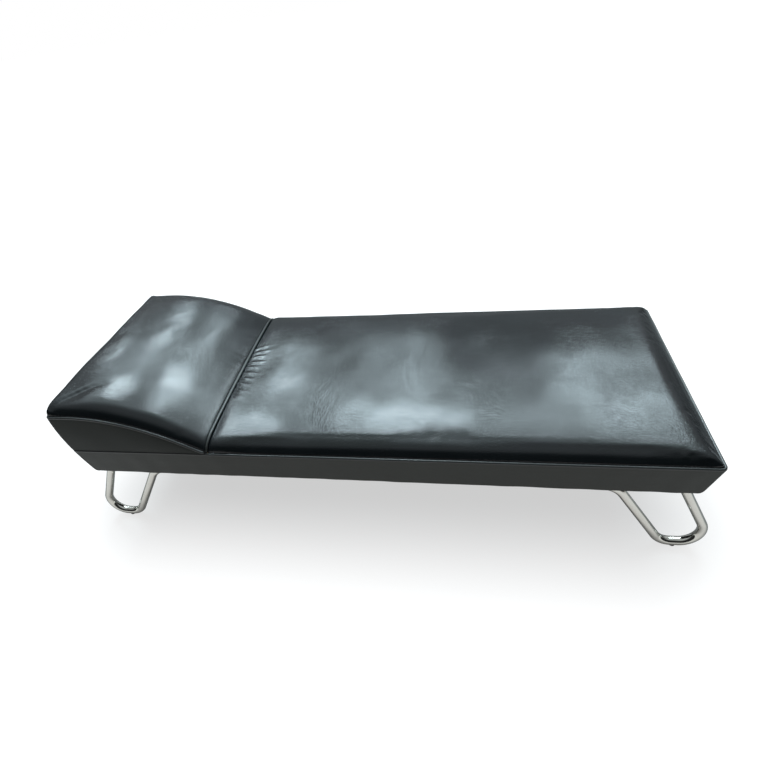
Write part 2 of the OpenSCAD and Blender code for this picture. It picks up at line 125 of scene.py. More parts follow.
def new_piece(name, vertices, faces, material, sharp=40):
    """A smooth-shaded mesh object whose edges past the sharp angle stay crisp."""
    mesh = bpy.data.meshes.new(name)
    mesh.from_pydata(np.asarray(vertices, float).tolist(), [], faces)
    mesh.validate()
    mesh.shade_smooth()
    mesh.set_sharp_from_angle(angle=math.radians(sharp))
    mesh.materials.append(material)
    piece = bpy.data.objects.new(name, mesh)
    bpy.context.scene.collection.objects.link(piece)
    return piece


def grid_faces(columns, rows, start=0, closed=False, flip=False):
    """Quads over a grid of points stored column by column."""
    faces = []
    for i in range(columns if closed else columns - 1):
        a = start + i * rows
        b = start + ((i + 1) % columns) * rows
        for j in range(rows - 1):
            quad = [a + j, b + j, b + j + 1, a + j + 1]
            faces.append(quad[::-1] if flip else quad)
    return faces


def rim_of_grid(columns, rows):
    """Indices once round a grid's edge."""
    front = [i * rows for i in range(columns)]
    end = [(columns - 1) * rows + j for j in range(1, rows)]
    back = [i * rows + rows - 1 for i in range(columns - 2, -1, -1)]
    start = list(range(rows - 2, 0, -1))
    return front + end + back + start


def unit(v):
    return v / np.linalg.norm(v)


def rounded_path(corners, bends, step=math.radians(4)):
    """Points along straight lines whose corners are rounded to the given radii."""
    corners = [np.asarray(c, float) for c in corners]
    points = [corners[0]]
    for before, corner, after, radius in zip(corners, corners[1:], corners[2:], bends):
        p = unit(corner - before)
        q = unit(after - corner)
        turn = math.acos(np.clip(p @ q, -1, 1))
        cut = radius * math.tan(turn / 2)
        centre = corner + unit(q - p) * radius / math.cos(turn / 2)
        first = corner - p * cut - centre
        last = corner + q * cut - centre
        count = max(2, math.ceil(turn / step))
        for k in range(count + 1):
            a = turn * k / count
            points.append(centre + (math.sin(turn - a) * first + math.sin(a) * last) / math.sin(turn))
    points.append(corners[-1])
    return np.array(points)


def resampled(path, spacing):
    """The same line with evenly spaced points."""
    steps = np.linalg.norm(np.diff(path, axis=0), axis=1)
    along = np.concatenate([[0], np.cumsum(steps)])
    count = max(2, int(round(along[-1] / spacing)))
    at = np.linspace(0, along[-1], count + 1)
    return np.column_stack([np.interp(at, along, path[:, k]) for k in range(3)])


def path_frames(path, closed=False):
    """A side and an up at each point, turning as little as they can along the line."""
    ahead = np.roll(path, -1, axis=0)
    behind = np.roll(path, 1, axis=0)
    if not closed:
        ahead[-1] = path[-1]
        behind[0] = path[0]
    tangents = ahead - behind
    tangents /= np.linalg.norm(tangents, axis=1)[:, None]
    up = np.array([0.0, 0.0, 1.0])
    ups = []
    for t in tangents:
        up = unit(up - (up @ t) * t)
        ups.append(up)
    ups = np.array(ups)
    return np.cross(ups, tangents), ups


def tube_rings(path, radii, sides, closed=False):
    """Points [along, round, 3] on a round tube about a line."""
    across, ups = path_frames(path, closed)
    angles = np.arange(sides) * 2 * math.pi / sides
    radii = np.broadcast_to(radii, len(path))[:, None, None]
    spokes = np.cos(angles)[None, :, None] * across[:, None] + np.sin(angles)[None, :, None] * ups[:, None]
    return path[:, None, :] + radii * spokes


def ring_faces(rings, sides, start=0, closed=False, flip=False):
    """Quads between rings of points stored ring by ring."""
    faces = []
    for i in range(rings if closed else rings - 1):
        a = start + i * sides
        b = start + ((i + 1) % rings) * sides
        for j in range(sides):
            k = (j + 1) % sides
            quad = [a + j, a + k, b + k, b + j]
            faces.append(quad[::-1] if flip else quad)
    return faces


def rod(name, path, radius, sides, material, closed=False):
    """A solid round rod along a line, with rounded ends if it is open."""
    radii = np.full(len(path), float(radius))
    if not closed:
        radii[[0, -1]] = radius * 0.5
    rings = tube_rings(path, radii, sides, closed)
    vertices = rings.reshape(-1, 3)
    faces = ring_faces(len(path), sides, closed=closed)
    if not closed:
        faces.append(list(range(sides))[::-1])
        faces.append([len(vertices) - sides + j for j in range(sides)])
    return new_piece(name, vertices, faces, material, sharp=80)


def ripple(x, y, wavelength, seed, waves=7):
    """A smooth uneven field between about -1 and 1, the same on each run."""
    draw = np.random.default_rng(seed)
    total = np.zeros(np.broadcast(x, y).shape)
    for _ in range(waves):
        heading = draw.uniform(0, math.pi)
        scale = 2 * math.pi / (wavelength * draw.uniform(0.7, 1.4))
        phase = draw.uniform(0, 2 * math.pi)
        total = total + np.sin(scale * (x * math.cos(heading) + y * math.sin(heading)) + phase)
    return total / math.sqrt(waves)


def spaced(length, edge_step, widest, growth=1.25):
    """Places from 0 to length, close together at both ends."""
    places = [0.0]
    step = edge_step
    while places[-1] + step < length / 2:
        places.append(places[-1] + step)
        step = min(step * growth, widest)
    half = np.array(places) * (length / 2) / places[-1]
    return np.concatenate([half, length - half[-2::-1]])


# ---- Materials ----

class Nodes:
    """A short way to build one material's node tree."""

    def __init__(self, name):
        self.material = bpy.data.materials.new(name)
        self.material.use_nodes = True
        self.tree = self.material.node_tree
        self.shader = self.tree.nodes["Principled BSDF"]
        self.place = self.add("ShaderNodeTexCoord").outputs["Object"]

    def add(self, kind, inputs=None, **settings):
        node = self.tree.nodes.new(kind)
        for key, value in settings.items():
            setattr(node, key, value)
        for key, value in (inputs or {}).items():
            if isinstance(value, bpy.types.NodeSocket):
                self.tree.links.new(value, node.inputs[key])
            else:
                node.inputs[key].default_value = value
        return node

    def link(self, output, socket):
        self.tree.links.new(output, self.shader.inputs[socket])

    def set(self, **values):
        for key, value in values.items():
            self.shader.inputs[key.replace("_", " ")].default_value = value

    def stretched(self, scale):
        return self.add("ShaderNodeMapping", {"Vector": self.place, "Scale": scale}).outputs[0]

    def noise(self, scale, detail=3.0, roughness=0.5, vector=None):
        inputs = {"Vector": vector or self.place, "Scale": scale, "Detail": detail, "Roughness": roughness}
        return self.add("ShaderNodeTexNoise", inputs).outputs["Fac"]

    def voronoi(self, scale, feature="F1", vector=None):
        inputs = {"Vector": vector or self.place, "Scale": scale}
        return self.add("ShaderNodeTexVoronoi", inputs, feature=feature).outputs["Distance"]

    def remap(self, value, low_in, high_in, low_out, high_out, smooth=False):
        kind = "SMOOTHSTEP" if smooth else "LINEAR"
        inputs = {0: value, 1: low_in, 2: high_in, 3: low_out, 4: high_out}
        return self.add("ShaderNodeMapRange", inputs, interpolation_type=kind).outputs[0]

    def math(self, operation, a, b):
        return self.add("ShaderNodeMath", {0: a, 1: b}, operation=operation).outputs[0]

    def mix(self, factor, a, b):
        node = self.add("ShaderNodeMix", data_type="RGBA")
        for socket, value in ((0, factor), (6, a), (7, b)):
            if isinstance(value, bpy.types.NodeSocket):
                self.tree.links.new(value, node.inputs[socket])
            else:
                node.inputs[socket].default_value = value
        return node.outputs[2]

    def bump(self, height, distance, strength=1.0, normal=None):
        inputs = {"Height": height, "Distance": distance, "Strength": strength}
        if normal is not None:
            inputs["Normal"] = normal
        return self.add("ShaderNodeBump", inputs).outputs[0]


def rgba(r, g, b):
    return (r, g, b, 1.0)


def vinyl(name, dark, light, roughness, crinkle, gloss=0.5):
    """Semi-gloss upholstery vinyl: embossed grain, fine creases that come and go, and worn patches."""
    n = Nodes(name)
    warp = n.add("ShaderNodeTexNoise", {"Vector": n.place, "Scale": 55.0, "Detail": 2.0}).outputs["Color"]
    bent = n.add("ShaderNodeMix", {0: 0.012, 4: n.place, 5: warp}, data_type="VECTOR").outputs[1]
    creases = n.remap(n.voronoi(120.0, "DISTANCE_TO_EDGE", bent), 0.0, 0.16, 0.0, 1.0, smooth=True)
    wrinkles = n.noise(120.0, 3.0, 0.6, n.stretched((1.0, 1.35, 1.0)))
    worn = n.remap(n.noise(5.0, 3.0), 0.40, 0.62, 0.35, 1.0, smooth=True)
    grain = n.voronoi(900.0)
    colour = n.mix(n.noise(7.0, 4.0), rgba(*dark), rgba(*light))
    n.link(colour, "Base Color")
    smear = n.math("ADD", n.math("MULTIPLY", n.noise(4.0, 4.0), 0.10), roughness - 0.05)
    n.link(n.math("ADD", smear, n.math("MULTIPLY", n.noise(90.0, 2.0), 0.05)), "Roughness")
    fine = n.bump(grain, 0.12 * MM, 0.35)
    creased = n.bump(n.math("MULTIPLY", creases, worn), crinkle * 1.5, 0.9, fine)
    n.link(n.bump(n.math("MULTIPLY", wrinkles, worn), crinkle * 2.0, 0.8, creased), "Normal")
    n.set(Specular_IOR_Level=gloss)
    return n.material


def chrome():
    """Bright plate over drawn tube, with a little haze and pitting."""
    n = Nodes("chrome")
    haze = n.noise(14.0, 5.0)
    n.link(n.mix(haze, rgba(0.80, 0.78, 0.71), rgba(0.92, 0.90, 0.84)), "Base Color")
    n.link(n.remap(haze, 0.3, 0.7, 0.07, 0.17), "Roughness")
    pits = n.remap(n.voronoi(420.0), 0.0, 0.12, 0.0, 1.0)
    wave = n.bump(n.noise(38.0, 2.0), 0.25 * MM, 0.5)
    n.link(n.bump(pits, 0.05 * MM, 0.3, wave), "Normal")
    n.set(Metallic=1.0)
    return n.material


def zinc():
    n = Nodes("zinc_steel")
    spangle = n.voronoi(160.0)
    n.link(n.mix(spangle, rgba(0.42, 0.43, 0.43), rgba(0.62, 0.62, 0.60)), "Base Color")
    n.link(n.remap(n.noise(60.0, 4.0), 0.3, 0.7, 0.28, 0.5), "Roughness")
    n.link(n.bump(n.noise(260.0, 3.0), 0.1 * MM, 0.4), "Normal")
    n.set(Metallic=1.0)
    return n.material


def wood(name, dark, light, across=60.0, along=3.0):
    """Straight grain along X with pores."""
    n = Nodes(name)
    vector = n.stretched((along, across, across))
    grain = n.noise(1.0, 6.0, 0.6, vector)
    n.link(n.mix(n.remap(grain, 0.3, 0.7, 0.0, 1.0), rgba(*dark), rgba(*light)), "Base Color")
    n.link(n.remap(grain, 0.3, 0.7, 0.55, 0.75), "Roughness")
    n.link(n.bump(n.noise(3.0, 5.0, 0.6, vector), 0.3 * MM, 0.5), "Normal")
    return n.material


def foam():
    n = Nodes("foam")
    cells = n.voronoi(700.0)
    n.link(n.mix(n.noise(20.0), rgba(0.72, 0.62, 0.36), rgba(0.82, 0.76, 0.52)), "Base Color")
    n.link(n.bump(cells, 0.4 * MM, 0.8), "Normal")
    n.set(Roughness=0.95)
    return n.material


def cambric():
    """Thin black dust cloth: a plain weave of crossed threads."""
    n = Nodes("cambric")
    warp = n.add("ShaderNodeTexWave", {"Vector": n.place, "Scale": 320.0}, bands_direction="X").outputs["Fac"]
    weft = n.add("ShaderNodeTexWave", {"Vector": n.place, "Scale": 320.0}, bands_direction="Y").outputs["Fac"]
    weave = n.math("MULTIPLY", warp, weft)
    n.link(n.mix(weave, rgba(0.010, 0.010, 0.011), rgba(0.035, 0.035, 0.038)), "Base Color")
    sag = n.bump(n.noise(9.0, 3.0), 3.0 * MM, 0.6)
    n.link(n.bump(weave, 0.15 * MM, 0.6, sag), "Normal")
    n.set(Roughness=0.92)
    return n.material


def plastic(name, dark, light, roughness):
    n = Nodes(name)
    n.link(n.mix(n.noise(30.0, 4.0), rgba(*dark), rgba(*light)), "Base Color")
    n.link(n.remap(n.noise(80.0, 3.0), 0.3, 0.7, roughness - 0.06, roughness + 0.08), "Roughness")
    n.link(n.bump(n.noise(500.0, 2.0), 0.05 * MM, 0.5), "Normal")
    return n.material


TOP_VINYL = vinyl("vinyl_top", (0.005, 0.007, 0.008), (0.012, 0.015, 0.017), 0.14, 0.12 * MM)
# Wedge boxing: a darker, greener copy of the same black vinyl. Its darkness is painted shade, and its green
# tint is a painted reflection of a greenish floor.
SIDE_VINYL_PAINTED_SHADE = vinyl("vinyl_side_painted_shade", (0.008, 0.011, 0.008), (0.014, 0.018, 0.014), 0.42, 0.06 * MM, gloss=0.15)
# Base band: a lighter, greener copy of the same black vinyl. Its lighter tone is painted light, and its green
# tint is a painted reflection of a greenish floor.
BAND_VINYL_PAINTED_LIGHT = vinyl("vinyl_band_painted_light", (0.016, 0.019, 0.014), (0.026, 0.030, 0.023), 0.42, 0.06 * MM, gloss=0.45)
# Piping: the same black vinyl painted several times lighter. This is a painted highlight standing in for the
# bright line of light along each welt.
PIPING_VINYL_PAINTED_HIGHLIGHT = vinyl("vinyl_piping_painted_highlight", (0.018, 0.020, 0.019), (0.030, 0.033, 0.032), 0.28, 0.03 * MM, gloss=0.7)
CHROME = chrome()
ZINC = zinc()
HARDWOOD = wood("hardwood", (0.34, 0.20, 0.10), (0.58, 0.40, 0.23))
PLYWOOD = wood("plywood", (0.46, 0.30, 0.16), (0.68, 0.50, 0.31))
HARDBOARD = wood("hardboard", (0.13, 0.07, 0.04), (0.24, 0.15, 0.09), across=90.0, along=90.0)
FOAM = foam()
CAMBRIC = cambric()
NYLON = plastic("nylon_grey", (0.16, 0.16, 0.17), (0.24, 0.24, 0.25), 0.5)
PLUG_BLACK = plastic("plastic_black", (0.012, 0.012, 0.012), (0.03, 0.03, 0.03), 0.45)

NODE_MATERIALS = {
    "vinyl_black": SIDE_VINYL_PAINTED_SHADE, "piping_black": PIPING_VINYL_PAINTED_HIGHLIGHT, "chrome_tube": CHROME, "zinc_steel": ZINC,
    "hardwood": HARDWOOD, "plywood": PLYWOOD, "hardboard": HARDBOARD, "foam": FOAM,
    "cambric_black": CAMBRIC, "nylon_grey": NYLON, "plastic_black": PLUG_BLACK,
}


def dress_cad_nodes():
    """Gives every carried-over CAD node the finish of its material slot."""
    for row in frame["record"]["subparts"]:
        mesh = frame["nodes"][row["node"]].data
        mesh.materials.clear()
        mesh.materials.append(NODE_MATERIALS[row["material_slot"]])


# ---- Pads ----

def wedge_top(s):
    """Height of the wedge's welt above the seam line, s along from the head end."""
    s = np.asarray(s, float)
    arc = WEDGE_H - WEDGE_R + np.sqrt(np.maximum(WEDGE_R ** 2 - np.maximum(s - FLAT_RUN, 0) ** 2, 0))
    slope = (WEDGE_L - s) * math.tan(WEDGE_SLOPE)
    return np.where(s <= FLAT_RUN, WEDGE_H, np.where(s <= FLAT_RUN + ARC_RUN, arc, slope))


def wedge_edge(s, y):
    """Height of the wedge's sewn edge above the seam line; the far side has settled a little."""
    across = np.clip((y + HALF_W) / (2 * HALF_W), 0, 1)
    settled = across ** 2 * (3 - 2 * across) * np.clip(1 - (s / WEDGE_L) ** 3, 0, 1)
    return wedge_top(s) - np.minimum(FAR_SAG * settled, wedge_top(s) * 0.3)


def shoulder(distance, reach):
    """0 at the edge and 1 past reach, by a quarter of an ellipse."""
    t = np.clip(distance / reach, 0, 1)
    return np.sqrt(1 - (1 - t) ** 2)


def near_edge(a, b, blend=3.0):
    """The smaller of two distances, with the corner between them rounded."""
    a = np.maximum(a, 0.01 * MM)
    b = np.maximum(b, 0.01 * MM)
    return (a ** -blend + b ** -blend) ** (-1 / blend)


def side_fall(y):
    """Share of the crown's height across the couch: 1 in the middle and 0 at both sides."""
    return 1 - np.abs(y / HALF_W) ** 2.6


def junction_height(y):
    """Height of the seam between the two pads above the seam line."""
    distance = HALF_W - PAD_INSET - np.abs(y)
    return JUNCTION_RISE * (0.72 * shoulder(distance, 60 * MM) + 0.28 * side_fall(y))


def gathers(distance, y):
    """Short ridges where the seat cover is gathered into the junction seam."""
    total = np.zeros(np.broadcast(distance, y).shape)
    first = -122 * MM
    pitch = 25 * MM
    count = 10
    draw = np.random.default_rng(11)
    for k in range(count):
        centre = first + pitch * k + draw.uniform(-2, 2) * MM
        fan = 1.1 * (k - count / 2) / count
        reach = draw.uniform(40, 52) * MM
        width = draw.uniform(5.5, 6.5) * MM
        height = draw.uniform(2.2, 2.9) * MM
        across = y - centre - fan * distance
        ridge = np.exp(-(across / width) ** 2) - 0.45 * np.exp(-((across - 2.1 * width) / width) ** 2)
        fade = np.exp(-(distance / reach) ** 3) * np.clip(distance / (3 * MM), 0, 1)
        total = total + height * ridge * fade
    return total


def round_corner(x, y, corner_x, corner_y, radius):
    """Pulls the points of one square corner into a quarter disc."""
    sx = np.sign(corner_x)
    sy = np.sign(corner_y)
    a = (x * sx - (abs(corner_x) - radius)) / radius
    b = (y * sy - (abs(corner_y) - radius)) / radius
    inside = (a > 0) & (b > 0)
    new_a = a * np.sqrt(np.maximum(1 - b ** 2 / 2, 0))
    new_b = b * np.sqrt(np.maximum(1 - a ** 2 / 2, 0))
    x = np.where(inside, sx * (abs(corner_x) - radius + new_a * radius), x)
    y = np.where(inside, sy * (abs(corner_y) - radius + new_b * radius), y)
    return x, y


def pad_surface(xs, ys, height):
    """Grid points [columns, rows, 3] of a pad's top."""
    x, y = np.meshgrid(xs, ys, indexing="ij")
    z = height(x, y)
    radius = CORNER_R + 2 * MM
    at_an_end = [edge for edge in (xs[0], xs[-1]) if abs(abs(edge) - HALF_L) < 20 * MM]
    for corner_x in at_an_end:
        for corner_y in (ys[0], ys[-1]):
            x, y = round_corner(x, y, corner_x, corner_y, radius)
    return np.stack([x, y, z], axis=-1)


def pad_piece(name, surface, floor_height, material):
    """A closed pad: the grid on top, a wall down to its base all round, and a base of strips across."""
    columns, rows = surface.shape[:2]
    top = surface.reshape(-1, 3)
    rim = rim_of_grid(columns, rows)
    base = top[rim]
    base[:, 2] = floor_height(base[:, 0], base[:, 1])
    start = len(top)
    faces = grid_faces(columns, rows)
    count = len(rim)
    for k in range(count):
        a, b = k, (k + 1) % count
        faces.append([rim[a], start + a, start + b, rim[b]])
    far = [start + 2 * columns + rows - 3 - i for i in range(columns)]
    near = [start + i for i in range(columns)]
    for i in range(1, columns - 2):
        faces.append([near[i], far[i], far[i + 1], near[i + 1]])
    head_rows = [start + count - j for j in range(1, rows - 1)]
    foot_rows = [start + columns + j for j in range(rows - 2)]
    faces.append([near[0]] + head_rows + [far[0], far[1], near[1]])
    faces.append([near[-2], far[-2], far[-1]] + foot_rows[::-1] + [near[-1]])
    return new_piece(name, np.concatenate([top, base]), faces, material, sharp=70)


def seat_height(x, y):
    """The seat pad's top: tight over the far side, softly rolled at the foot, and dipping to the junction."""
    side = (HALF_W - PAD_INSET - np.abs(y)) * np.where(y > 0, 1.6, 1.0)
    foot = (HALF_L - PAD_INSET - x) * 0.55
    head = x - JUNCTION_X
    length = HALF_L - JUNCTION_X
    along = 1 - np.clip((head - length * 0.45) / (length * 0.56), 0, 1) ** 2.4
    rolled = SHOULDER * shoulder(near_edge(side, foot, 2.2), ROLL)
    z = SEAM_Z + 1 * MM + rolled + DOME * side_fall(y) * along
    full = np.maximum(z - SEAM_Z - junction_height(y) + 3 * MM, 0)
    z = z - full * (1 - shoulder(head - 2 * MM, 34 * MM))
    calm = shoulder(near_edge(side, np.minimum(foot, head)), 90 * MM)
    z = z + calm * (0.9 * MM * ripple(x, y, 0.42, 3) + 0.35 * MM * ripple(x, y, 0.13, 4))
    return z + gathers(head - 2 * MM, y)


def wedge_height(x, y):
    """The wedge pad's top: tight at the head, softly rolled at the far side, and dipping to the junction."""
    s = x + HALF_L
    side = (HALF_W - PAD_INSET - np.abs(y)) * np.where(y > 0, 0.7, 1.0)
    head = (s - PAD_INSET) * 2.0
    foot = WEDGE_L - s
    half = WEDGE_L * 0.5
    along = 1 - 0.5 * np.clip((half - s) / half, 0, 1) ** 2
    rolled = SHOULDER * shoulder(near_edge(side, head), ROLL)
    rise = 1 * MM + rolled + DOME * side_fall(y) * along
    full = np.maximum(rise - junction_height(y) + 2 * MM, 0)
    rise = rise - full * (1 - shoulder(foot - 2 * MM, 40 * MM))
    calm = shoulder(near_edge(side, np.minimum(foot, head)), 90 * MM)
    rise = rise + calm * (0.9 * MM * ripple(x, y, 0.3, 5) + 0.3 * MM * ripple(x, y, 0.1, 6))
    return SEAM_Z + wedge_edge(s, y) + rise


def bulged_head(surface):
    """Pushes the wedge pad's head edge out over its piping, and further on the far side."""
    x, y = surface[:, :, 0], surface[:, :, 1]
    t = np.clip((x + HALF_L - PAD_INSET) / (36 * MM), 0, 1)
    ends = shoulder(HALF_W - PAD_INSET - np.abs(y), 30 * MM)
    fuller = 1 + 0.8 * np.clip(y / HALF_W, 0, 1)
    bulged = surface.copy()
    bulged[:, :, 0] -= HEAD_BULGE * fuller * np.sin(math.pi * t ** 0.5) * ends
    return bulged


def settled_as_cloth(name, surface, coarse=14 * MM, slack=0.002, most=3 * MM):
    """Runs a coarse copy of a pad's top as cloth and adds what moved to the fine surface.

    It is sewn down at its rim and has a little slack, and the foam's pressure lifts it."""
    columns = evenly_chosen(surface[:, surface.shape[1] // 2], coarse)
    rows = evenly_chosen(surface[surface.shape[0] // 2], coarse)
    start = surface[np.ix_(columns, rows)]
    mesh = bpy.data.meshes.new(name)
    mesh.from_pydata(start.reshape(-1, 3).tolist(), [], grid_faces(len(columns), len(rows)))
    sheet = bpy.data.objects.new(name, mesh)
    bpy.context.scene.collection.objects.link(sheet)
    held = sheet.vertex_groups.new(name="held")
    held.add(list(range(len(mesh.vertices))), 0.12, "REPLACE")
    held.add(rim_of_grid(len(columns), len(rows)), 1.0, "REPLACE")
    modifier = sheet.modifiers.new("cover", "CLOTH")
    cover = modifier.settings
    cover.vertex_group_mass = "held"
    cover.pin_stiffness = 1.0
    cover.use_pressure = True
    cover.uniform_pressure_force = 4
    cover.shrink_min = -slack
    cover.effector_weights.gravity = 0
    for number in range(1, 21):
        bpy.context.scene.frame_set(number)
    posed = sheet.evaluated_get(bpy.context.evaluated_depsgraph_get())
    ends = np.array([vertex.co[:] for vertex in posed.data.vertices])
    bpy.data.objects.remove(sheet)
    bpy.context.scene.frame_set(1)
    moved = ends.reshape(start.shape) - start
    size = np.linalg.norm(moved, axis=2, keepdims=True)
    moved *= np.minimum(1, most / np.maximum(size, 1e-9))
    moved *= np.clip(np.abs(start[:, :, :1] - JUNCTION_X) / (140 * MM), 0, 1)
    return surface + between(moved, columns, rows, surface.shape)


def evenly_chosen(line, spacing):
    """Indices of points along a line that are about this far apart, with both ends."""
    along = np.concatenate([[0], np.cumsum(np.linalg.norm(np.diff(line, axis=0), axis=1))])
    count = int(round(along[-1] / spacing))
    wanted = np.linspace(0, along[-1], count + 1)
    return np.unique([int(np.argmin(np.abs(along - w))) for w in wanted])


def between(values, columns, rows, shape):
    """Coarse grid values spread smoothly over the fine grid."""
    wide = np.empty((shape[0], len(rows), 3))
    full = np.empty(shape)
    for k in range(3):
        for j in range(len(rows)):
            wide[:, j, k] = eased_between(np.arange(shape[0]), columns, values[:, j, k])
        for i in range(shape[0]):
            full[i, :, k] = eased_between(np.arange(shape[1]), rows, wide[i, :, k])
    return full


def eased_between(at, places, values):
    """Values between known places along a smooth curve through them."""
    slopes = np.gradient(values, places)
    i = np.clip(np.searchsorted(places, at, side="right") - 1, 0, len(places) - 2)
    span = places[i + 1] - places[i]
    t = (at - places[i]) / span
    start = (1 + 2 * t) * (1 - t) ** 2 * values[i] + t * (1 - t) ** 2 * span * slopes[i]
    return start + t * t * (3 - 2 * t) * values[i + 1] + t * t * (t - 1) * span * slopes[i + 1]


def wedge_floor(x, y):
    """The wedge pad's underside, on the hardboard."""
    return SEAM_Z + np.maximum(wedge_edge(x + HALF_L, y) - 6 * MM, 0)


def seat_floor(x, y):
    """The seat pad's underside, on the plywood deck."""
    return SEAM_Z + 0 * x


def make_pads():
    finest = 0.8 * MM
    half_y = HALF_W - PAD_INSET
    ys = spaced(2 * half_y, finest, 3 * MM) - half_y
    seat_xs = JUNCTION_X + 2 * MM + spaced(HALF_L - PAD_INSET - JUNCTION_X - 2 * MM, finest, 6 * MM, 1.12)
    seat_surface = settled_as_cloth("seat_sheet", pad_surface(seat_xs, ys, seat_height))
    seat = pad_piece("seat_pad", seat_surface, seat_floor, TOP_VINYL)
    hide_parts("seat_cover", "seat_foam")
    wedge_xs = spaced(WEDGE_L - PAD_INSET - 2 * MM, finest, 6 * MM, 1.15) + PAD_INSET - HALF_L
    bulged = bulged_head(pad_surface(wedge_xs, ys, wedge_height))
    wedge_surface = settled_as_cloth("wedge_sheet", bulged)
    wedge = pad_piece("wedge_pad", wedge_surface, wedge_floor, TOP_VINYL)
    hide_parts("wedge_cover", "wedge_foam")
    for pad in (seat, wedge):
        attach(pad, "root")


# ---- Piping ----

def loop_points(half_x, half_y, radius):
    """Once round a rectangle with rounded corners, from the middle of the front."""
    corners = [(0, -half_y, 0), (half_x, -half_y, 0), (half_x, half_y, 0), (-half_x, half_y, 0),
               (-half_x, -half_y, 0), (0, -half_y, 0)]
    return rounded_path(corners, [radius] * 4, math.radians(10))


def base_line(edge_x, edge_y):
    """Once round the seam line, not quite level."""
    line = resampled(loop_points(edge_x, edge_y, CORNER_R), 6 * MM)[:-1]
    line[:, 2] = SEAM_Z + 0.5 * MM * ripple(line[:, 0], line[:, 1] * 3, 0.5, 21)
    return line


def wedge_line(edge_x, edge_y):
    """From the wedge's front toe up and along its edge, round the head end, and down to the back toe."""
    toe_s = WEDGE_L - 7 * MM
    slope = [(s - HALF_L, -edge_y, SEAM_Z + float(wedge_top(s))) for s in np.arange(toe_s, CORNER_R, -6 * MM)]
    corner = (-edge_x, -edge_y, SEAM_Z + WEDGE_H)
    head_middle = (-edge_x, 0, SEAM_Z + WEDGE_H)
    turn = rounded_path([slope[-1], corner, head_middle], [CORNER_R], math.radians(8))
    half = np.concatenate([slope[:-1], turn])
    other = half[::-1] * np.array([1, -1, 1])
    line = resampled(np.concatenate([half, other[1:]]), 6 * MM)
    settled = wedge_top(line[:, 0] + HALF_L) - wedge_edge(line[:, 0] + HALF_L, line[:, 1])
    line[:, 2] += 0.4 * MM * ripple(line[:, 0], line[:, 1] * 3, 0.4, 22) - settled
    return line


def junction_line(edge_y):
    """Across the couch between the two pads."""
    y = np.linspace(-1, 1, 121) * (edge_y - 3 * MM)
    z = SEAM_Z + 3 * MM + junction_height(y)
    return np.column_stack([np.full_like(y, JUNCTION_X - 1 * MM), y, z])


def make_piping():
    edge_x = HALF_L - WELT_INSET
    edge_y = HALF_W - WELT_INSET
    sides = 20
    base = rod("base_piping", base_line(edge_x, edge_y), WELT_R, sides, PIPING_VINYL_PAINTED_HIGHLIGHT, closed=True)
    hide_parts("base_welt")
    wedge = rod("wedge_piping", wedge_line(edge_x, edge_y), WELT_R, sides, PIPING_VINYL_PAINTED_HIGHLIGHT)
    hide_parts("wedge_welt")
    junction = rod("junction_piping", junction_line(edge_y), WELT_R * 0.9, sides, PIPING_VINYL_PAINTED_HIGHLIGHT)
    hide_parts("junction_welt")
    for piece in (base, wedge, junction):
        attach(piece, "root")


# ---- Base band and wedge boxing ----

def band_profile():
    """Insets from the side face and the end face at each height, from the seam down and under the body."""
    top = SEAM_Z - 1 * MM
    under = BASE_Z + DUST_T
    lean = math.atan(END_LEAN / (SEAM_Z - BASE_Z))
    turn_z = under + END_ROUND * (1 - math.sin(lean))
    straight = 14
    angles = lean + (math.pi / 2 - lean) * np.linspace(0, 1, straight + 1)[1:] ** 0.8
    z = np.concatenate([np.linspace(top, turn_z, straight), under + END_ROUND * (1 - np.sin(angles))])
    end_in = (SEAM_Z - z) * math.tan(lean)
    end_in[straight:] = end_in[straight - 1] + END_ROUND * (math.cos(lean) - np.cos(angles))
    down = np.clip((under + SIDE_ROUND - z) / SIDE_ROUND, 0, 1)
    side_in = SIDE_ROUND * (1 - np.sqrt(1 - down ** 2))
    flange = np.linspace(0, 1, 6)[1:]
    side_in = np.append(side_in, side_in[-1] + (FLANGE - side_in[-1]) * flange)
    end_in = np.append(end_in, end_in[-1] + FLANGE * 0.5 * flange)
    return side_in, end_in, np.append(z, np.full(len(flange), z[-1]))


def band_ring(side_in, end_in, z, spots):
    """One level of the band: a rectangle with rounded corners, inset more at the ends than the sides."""
    radius = 5 * MM
    half_x = HALF_L - end_in
    half_y = HALF_W - side_in
    points = []
    for kind, value, sx, sy in spots:
        if kind == "side":
            points.append((value * (half_x - radius), sy * half_y, z))
        elif kind == "end":
            points.append((sx * half_x, value * (half_y - radius), z))
        else:
            a = value * math.pi / 2
            x = sx * (half_x - radius + radius * math.sin(a))
            y = sy * (half_y - radius + radius * math.cos(a))
            points.append((x, y, z))
    return points


def band_spots():
    """Where round the band its points lie, from the middle of the front, to the foot end and on round."""
    along = np.linspace(-1, 1, 261)
    across = np.linspace(-1, 1, 91)
    turn = np.linspace(0, 1, 9)[1:-1]
    spots = [("side", v, 0, -1) for v in along]
    spots += [("corner", v, 1, -1) for v in turn]
    spots += [("end", v, 1, 0) for v in across]
    spots += [("corner", v, 1, 1) for v in turn[::-1]]
    spots += [("side", v, 0, 1) for v in along[::-1]]
    spots += [("corner", v, -1, 1) for v in turn]
    spots += [("end", v, -1, 0) for v in across[::-1]]
    spots += [("corner", v, -1, -1) for v in turn[::-1]]
    return spots


def outward_normals(outer):
    """Unit vectors out of the band's surface, at each level and each point round it."""
    ahead = np.roll(outer, -1, axis=1) - np.roll(outer, 1, axis=1)
    down = np.gradient(outer, axis=0)
    normal = np.cross(ahead, down)
    normal /= np.maximum(np.linalg.norm(normal, axis=2), 1e-9)[:, :, None]
    middle = np.array([0, 0, SEAM_Z + 0.3])
    normal *= np.sign((normal * (outer - middle)).sum(axis=2))[:, :, None]
    return normal


